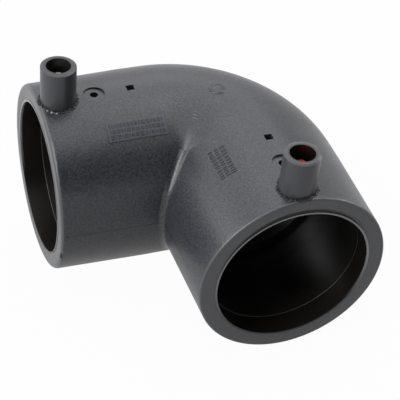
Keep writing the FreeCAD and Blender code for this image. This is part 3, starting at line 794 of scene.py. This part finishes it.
# Each mark runs between two spots of the plan, in millimetres, and has a width and a rise.
SCRATCHES = [((70.9, -11.2), (72.6, -11.9), 0.35 * MM, 0.35 * MM),
             ((59.9, -18.9), (61.9, -20.9), 0.26 * MM, 0.1 * MM),
             ((59.2, -20.2), (61.5, -22.2), 0.26 * MM, 0.1 * MM),
             ((60.8, -17.8), (62.6, -19.6), 0.2 * MM, 0.08 * MM)]
GATE_CUT = ((73.3, -12.1), (74.6, -12.5), 0.5 * MM, 0.35 * MM)
SPECK_PLACE, SPECK_SIZE, SPECK_SQUASH = Vector((2.1, -39.3, 0.3)) * MM, 0.6 * MM, 0.7
NICK_LUMPS = 4
NICK_ANGLE, NICK_STEP = 106.0, 1.3
NICK_ALONG, NICK_SINK, NICK_SIZE = 0.6 * MM, 0.7 * MM, 0.55 * MM
GATE_X, GATE_Y = 73.65, -9.35
GATE_RADIUS = 3.8 * MM
GATE_SLOPE = 0.35 * MM
GATE_RISE = 0.22 * MM
GATE_STEPS = 48
SAME_PLACE = 0.001 * MM


def on_bend(x, y):
    """Point on top of the bend's outside above a spot of the plan, given in millimetres."""
    spot = Vector((x, y, 0)) * MM
    off_line = (spot - Vector((LEG_LENGTH, -BEND_RADIUS, 0))).length - BEND_RADIUS
    spot.z = math.sqrt(OUTER_RADIUS ** 2 - off_line ** 2)
    return spot


def scratch(work, start, finish, width, rise):
    """Adds a thin ridge between two spots on top of the bend."""
    start, finish = on_bend(*start), on_bend(*finish)
    low_block(work, (start + finish) / 2, finish - start, (finish - start).length, width, rise)


def gate_disc():
    """Low round pad over the gate, with a sloping rim that runs down into the bend."""
    work = bmesh.new()
    rings = []
    section = ((0.0, GATE_RISE), (GATE_RADIUS - GATE_SLOPE, GATE_RISE), (GATE_RADIUS, -GATE_RISE))
    for reach, rise in section:
        ring = []
        for step in range(GATE_STEPS):
            turn = 2 * math.pi * step / GATE_STEPS
            spot = on_bend(GATE_X + reach / MM * math.cos(turn), GATE_Y + reach / MM * math.sin(turn))
            ring.append(work.verts.new(spot + Vector((0, 0, rise))))
        rings.append(ring)
    joined(work, rings, ends_meet=False)
    bmesh.ops.remove_doubles(work, verts=rings[0], dist=SAME_PLACE)
    return work


finish_piece("gate_disc", gate_disc(), body_plastic, smooth_under=60)
pale_plastic = small_moulding("stretched_polyethylene", "8f8f8d", "b4b4b0", roughness=0.5)
shreds = bmesh.new()
foot = on_socket("a", TERMINAL_FROM_FACE, 0, 0)
for step in range(SHREDS):
    angle = SHREDS_START + SHREDS_SWEEP * step / SHREDS + rng.uniform(-SHREDS_JITTER, SHREDS_JITTER)
    turn = math.radians(angle)
    reach = SHROUD_RADIUS + rng.uniform(*SHRED_REACH) * MM
    spot = foot + reach * Vector((math.cos(turn), math.sin(turn), 0))
    spot.z = crown_height("a", spot)
    lump(shreds, spot, rng.uniform(*SHRED_SIZE) * MM, rng.uniform(*SHRED_SQUASH))
finish_piece("pale_shreds", shreds, pale_plastic, smooth_under=180)

scuffed_plastic = small_moulding("scuffed_polyethylene", "76777a", "8c8d90", roughness=0.5)
scratches = bmesh.new()
for start, finish, width, rise in SCRATCHES:
    scratch(scratches, start, finish, width, rise)
finish_piece("bend_scratches", scratches, scuffed_plastic, smooth_under=180)

cuts = bmesh.new()
scratch(cuts, *GATE_CUT)
lump(cuts, SPECK_PLACE, SPECK_SIZE, SPECK_SQUASH)
for step in range(NICK_LUMPS):
    angle = NICK_ANGLE + step * NICK_STEP
    lump(cuts, on_socket("a", NICK_ALONG, angle, MOUTH_RADIUS - NICK_SINK), NICK_SIZE, 1.0)
finish_piece("dark_cuts", cuts, crumb_plastic, smooth_under=180)

# %% [markdown]
# ## Camera
# The camera stands where the photographer's did. Its place, direction and lens were worked out
# from the two round mouths, the shrouds and the outline of the bend.

# %% Camera
CAMERA_PLACE = Vector((-104.2, -422.4, 371.0)) * MM
CAMERA_YAW, CAMERA_PITCH, CAMERA_ROLL = map(math.radians, (67.02, 41.103, 5.769))
LENS, SENSOR_WIDTH = 121.13, 36
ahead = Vector((math.cos(CAMERA_YAW) * math.cos(CAMERA_PITCH),
                math.sin(CAMERA_YAW) * math.cos(CAMERA_PITCH), -math.sin(CAMERA_PITCH)))
level_right = Vector((math.sin(CAMERA_YAW), -math.cos(CAMERA_YAW), 0))
level_up = level_right.cross(ahead)
right = math.cos(CAMERA_ROLL) * level_right + math.sin(CAMERA_ROLL) * level_up
up = right.cross(ahead)
camera_data = bpy.data.cameras.new("camera")
camera_data.lens = LENS
camera_data.sensor_width = SENSOR_WIDTH
camera = bpy.data.objects.new("camera", camera_data)
camera_turn = Matrix((right, up, -ahead)).transposed().to_4x4()
camera.matrix_world = Matrix.Translation(CAMERA_PLACE) @ camera_turn
bpy.context.scene.collection.objects.link(camera)
bpy.context.scene.camera = camera
print("camera", camera.location, "lens", LENS)

# %% [markdown]
# ## Floor and light
# The fitting stands on a white table in a white room. Six soft lamps light it: above, behind, on the
# left, at the front left, and two on the right. Black plastic shows mostly what it mirrors. The room
# brightens every edge that is seen at a low angle, while the two sockets mirror each other and stay
# dark. The narrow panel at the front left draws the bright line along the web. In front the table
# ends, and a black card stands behind and above the camera, as photographers place one, so the side
# of socket A stays dark. The camera sees table and room as nearly white. For mirrored rays less white
# is mixed in, half for the table and most of it for the room, so the underside and the edges don't
# shine. How strongly the fitting is lit is left to the lamps and a faint glow of the room.
# Table and card are measured in metres.

# %% White table
BACKDROP_SHARE = 0.97
TABLE_MIRRORED = 0.5
ROOM_MIRRORED = 0.86
TABLE_SIDE, TABLE_FRONT, TABLE_BACK = 3.0, -0.3, 3.0
TABLE_HEIGHT = body_low.z - 0.2 * MM


def seen_as_white(tree, lit, output, kind, mirrored_share):
    """Blends a lit floor or room into white, nearly all for the camera, a share for mirrored rays."""
    path = add_node(tree, "LightPath").node.outputs
    mirrored = add_node(tree, "Math", {0: path["Is Glossy Ray"], 1: path["Is Transmission Ray"]},
                        operation="MAXIMUM")
    mirrored = add_node(tree, "Math", {0: mirrored, 1: mirrored_share}, operation="MULTIPLY")
    direct = add_node(tree, "Math", {0: path["Is Camera Ray"], 1: BACKDROP_SHARE},
                      operation="MULTIPLY")
    share = add_node(tree, "Math", {0: direct, 1: mirrored}, operation="MAXIMUM")
    white = add_node(tree, kind, {"Color": linear("ffffff"), "Strength": 1.0})
    blend = add_node(tree, "MixShader", {0: share, 1: lit, 2: white})
    tree.links.new(blend, output)


table_material, tree, shader, place = new_material("white_table")
shader.inputs["Base Color"].default_value = linear("c2c2c2")
shader.inputs["Roughness"].default_value = 0.8
seen_as_white(tree, shader.outputs[0], tree.nodes["Material Output"].inputs["Surface"],
              "Emission", TABLE_MIRRORED)


def studio_sheet(name, corners, material):
    """Flat sheet of the studio, which isn't part of the fitting."""
    mesh = bpy.data.meshes.new(name)
    mesh.from_pydata(corners, [], [tuple(range(len(corners)))])
    mesh.materials.append(material)
    sheet = bpy.data.objects.new(name, mesh)
    bpy.context.scene.collection.objects.link(sheet)
    return sheet


table_plan = [(-TABLE_SIDE, TABLE_FRONT), (TABLE_SIDE, TABLE_FRONT),
              (TABLE_SIDE, TABLE_BACK), (-TABLE_SIDE, TABLE_BACK)]
studio_sheet("white_table", [(x, y, TABLE_HEIGHT) for x, y in table_plan], table_material)

# %% Black card behind the camera
CARD_FIBRES = 400.0
CARD_LEFT, CARD_RIGHT, CARD_LOW, CARD_HIGH = -1.0, 1.3, 0.3, 1.5
CARD_PLACE = -0.9
card_material, tree, shader, place = new_material("black_card")
fibres = add_node(tree, "TexNoise", {"Vector": place, "Scale": CARD_FIBRES, "Detail": 2.0})
card_colour = add_node(tree, "Mix", {0: fibres, COLOUR_A: linear("101010"),
                                     COLOUR_B: linear("1a1a1a")}, COLOUR_OUT, data_type="RGBA")
tree.links.new(card_colour, shader.inputs["Base Color"])
shader.inputs["Roughness"].default_value = 0.9
card_front = [(CARD_LEFT, CARD_LOW), (CARD_RIGHT, CARD_LOW),
              (CARD_RIGHT, CARD_HIGH), (CARD_LEFT, CARD_HIGH)]
card = studio_sheet("black_card", [(x, CARD_PLACE, z) for x, z in card_front], card_material)
card.visible_camera = False


# %% Lamps and world
LAMP_TARGET = (0.06, -0.03, 0.0)
ROOM_GLOW = 0.12
# Name, place in metres, width, height and power in watts
LAMPS = [("overhead_softbox", (-0.05, 0.1, 1.1), 1.4, 1.2, 5.4),
         ("rear_softbox", (0.05, 0.95, 0.75), 1.4, 0.8, 3.2),
         ("left_softbox", (-0.85, 0.2, 0.45), 1.0, 0.6, 5.0),
         ("front_left_panel", (-0.8, -0.34, 0.66), 0.28, 1.0, 5.8),
         ("right_softbox", (0.6, 0.3, 0.85), 0.6, 0.6, 1.8),
         ("low_right_softbox", (0.95, 0.15, 0.4), 0.5, 0.5, 2.6)]


def soft_lamp(name, place, width, height, power):
    """Rectangular area lamp that points at the fitting."""
    data = bpy.data.lights.new(name, "AREA")
    data.shape = "RECTANGLE"
    data.size, data.size_y, data.energy = width, height, power
    lamp = bpy.data.objects.new(name, data)
    lamp.location = place
    lamp.rotation_mode = "QUATERNION"
    lamp.rotation_quaternion = (Vector(LAMP_TARGET) - Vector(place)).to_track_quat("-Z", "Y")
    bpy.context.scene.collection.objects.link(lamp)
    print(name, "at", tuple(place), power, "W")


for lamp_settings in LAMPS:
    soft_lamp(*lamp_settings)

world = bpy.data.worlds.new("light_tent")
bpy.context.scene.world = world
world.use_nodes = True
room = world.node_tree.nodes["Background"]
room.inputs["Color"].default_value = linear("ffffff")
room.inputs["Strength"].default_value = ROOM_GLOW
seen_as_white(world.node_tree, room.outputs[0],
              world.node_tree.nodes["World Output"].inputs["Surface"],
              "Background", ROOM_MIRRORED)
bpy.context.scene.view_settings.view_transform = "Standard"
